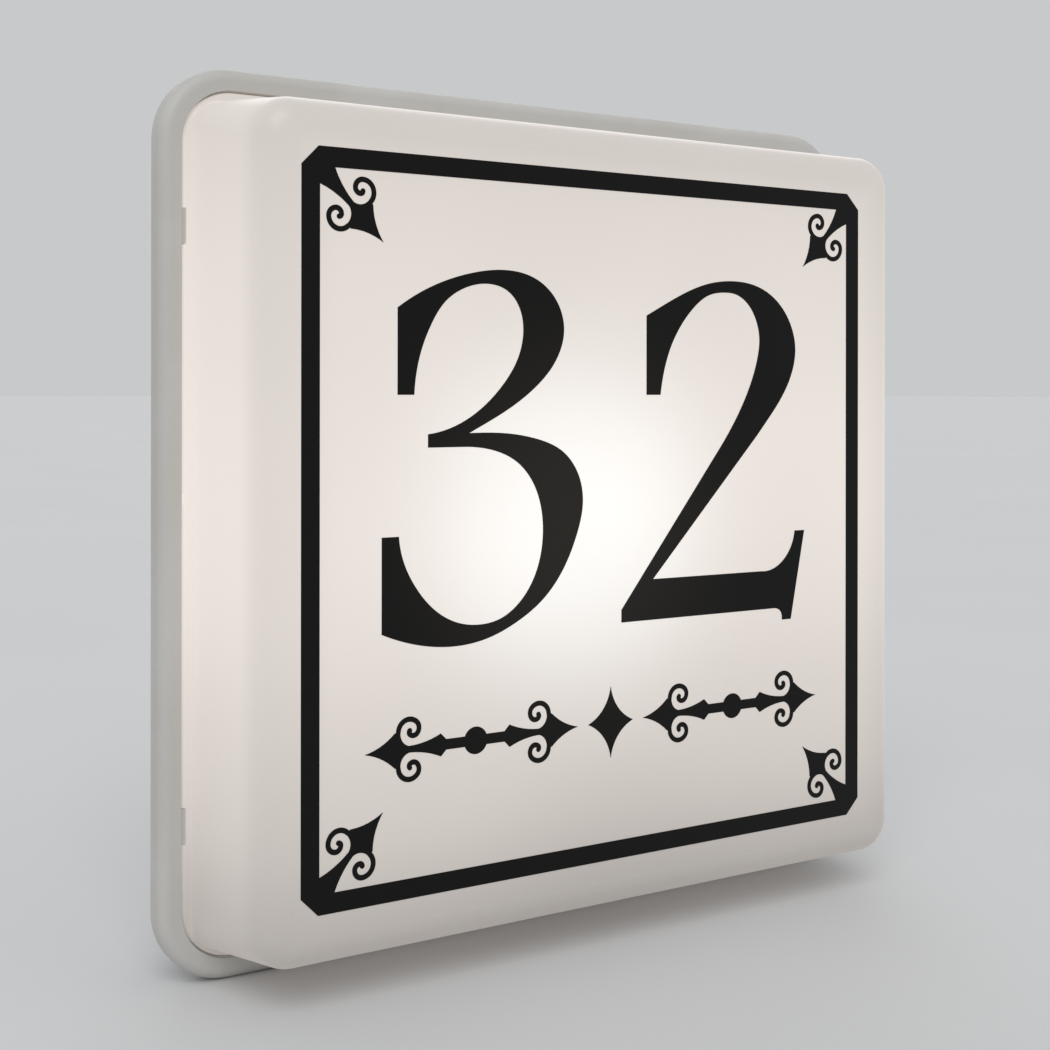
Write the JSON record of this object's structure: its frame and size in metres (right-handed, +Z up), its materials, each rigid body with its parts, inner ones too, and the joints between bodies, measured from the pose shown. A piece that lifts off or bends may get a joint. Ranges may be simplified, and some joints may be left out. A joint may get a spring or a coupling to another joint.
{
  "type": "illuminated house number sign",
  "caption": "Square opal wall light with a house number and ornamental border in black film, on a shallow white tray with a screw-in bulb.",
  "frame": {"origin": "middle of the back of the tray, on the wall", "axes": "+Z up, +Y into the wall, the lit face looks towards -Y, +X to the right as seen from the front"},
  "size_m": [0.28, 0.0756, 0.28],
  "materials": {
    "tray_plastic": "fine textured white ABS",
    "opal_plastic": "satin opal acrylic, lit from behind",
    "black_film": "satin black cast film",
    "seal_rubber": "EPDM",
    "grommet_rubber": "EPDM",
    "coated_steel": "white powder coat",
    "zinc_steel": "zinc plated",
    "holder_plastic": "white thermoplastic",
    "steatite": "unglazed steatite",
    "brass": "plain",
    "plated_brass": "nickel plated, satin",
    "solder_tin": "dull solder",
    "black_glass": "fused black glass",
    "bulb_plastic": "white plastic over aluminium",
    "bulb_opal": "satin opal, lit",
    "board_white": "white solder mask",
    "led_yellow": "phosphor under clear resin",
    "board_green": "green solder mask",
    "terminal_plastic": "natural polyamide",
    "clamp_plastic": "grey polyamide",
    "lead_brown": "silicone insulation",
    "lead_blue": "silicone insulation"
  },
  "bodies": {
    "tray": {"base_tray": "tray_plastic", "seal": "seal_rubber", "holder_bracket": "coated_steel", "bracket_screws": "zinc_steel", "holder_core": "steatite", "holder_sleeve": "holder_plastic", "thread_shell": "plated_brass", "holder_screws": "zinc_steel", "terminal_block": "terminal_plastic", "terminal_inserts": "brass", "terminal_screws": "zinc_steel", "block_screws": "zinc_steel", "cable_grommet": "grommet_rubber", "cable_clamp": "clamp_plastic", "clamp_screws": "zinc_steel", "live_lead": "lead_brown", "neutral_lead": "lead_blue"},
    "cover": {"cover": "opal_plastic", "film_border": "black_film", "numeral_three": "black_film", "numeral_two": "black_film", "film_divider": "black_film"},
    "bulb_core": {"bulb_driver": "board_green"},
    "bulb": {"bulb_contact": "solder_tin", "bulb_insulator": "black_glass", "bulb_cap": "plated_brass", "bulb_body": "bulb_plastic", "bulb_board": "board_white", "bulb_leds": "led_yellow", "bulb_dome": "bulb_opal"},
    "contact": {"centre_contact": "brass"}
  },
  "joints": [
    {"name": "cover_pull", "type": "slide", "parent": "tray", "child": "cover", "axis": [0, -1, 0], "range_m": [0, 0.06]},
    {"name": "bulb_rise", "type": "slide", "parent": "tray", "child": "bulb_core", "axis": [0, 0, 1], "range_m": [0, 0.01814]},
    {"name": "bulb_turn", "type": "hinge", "parent": "bulb_core", "child": "bulb", "pos_m": [0, -0.038, 0], "axis": [0, 0, 1], "range_deg": [0, 1800]},
    {"name": "contact_press", "type": "slide", "parent": "tray", "child": "contact", "axis": [0, 0, -1], "range_m": [0, 0.0008], "stiffness_N_per_m": 1500}
  ],
  "couplings": [
    {"joint": "bulb_turn", "follows": "bulb_rise", "rad_per_m": 1731.4}
  ]
}
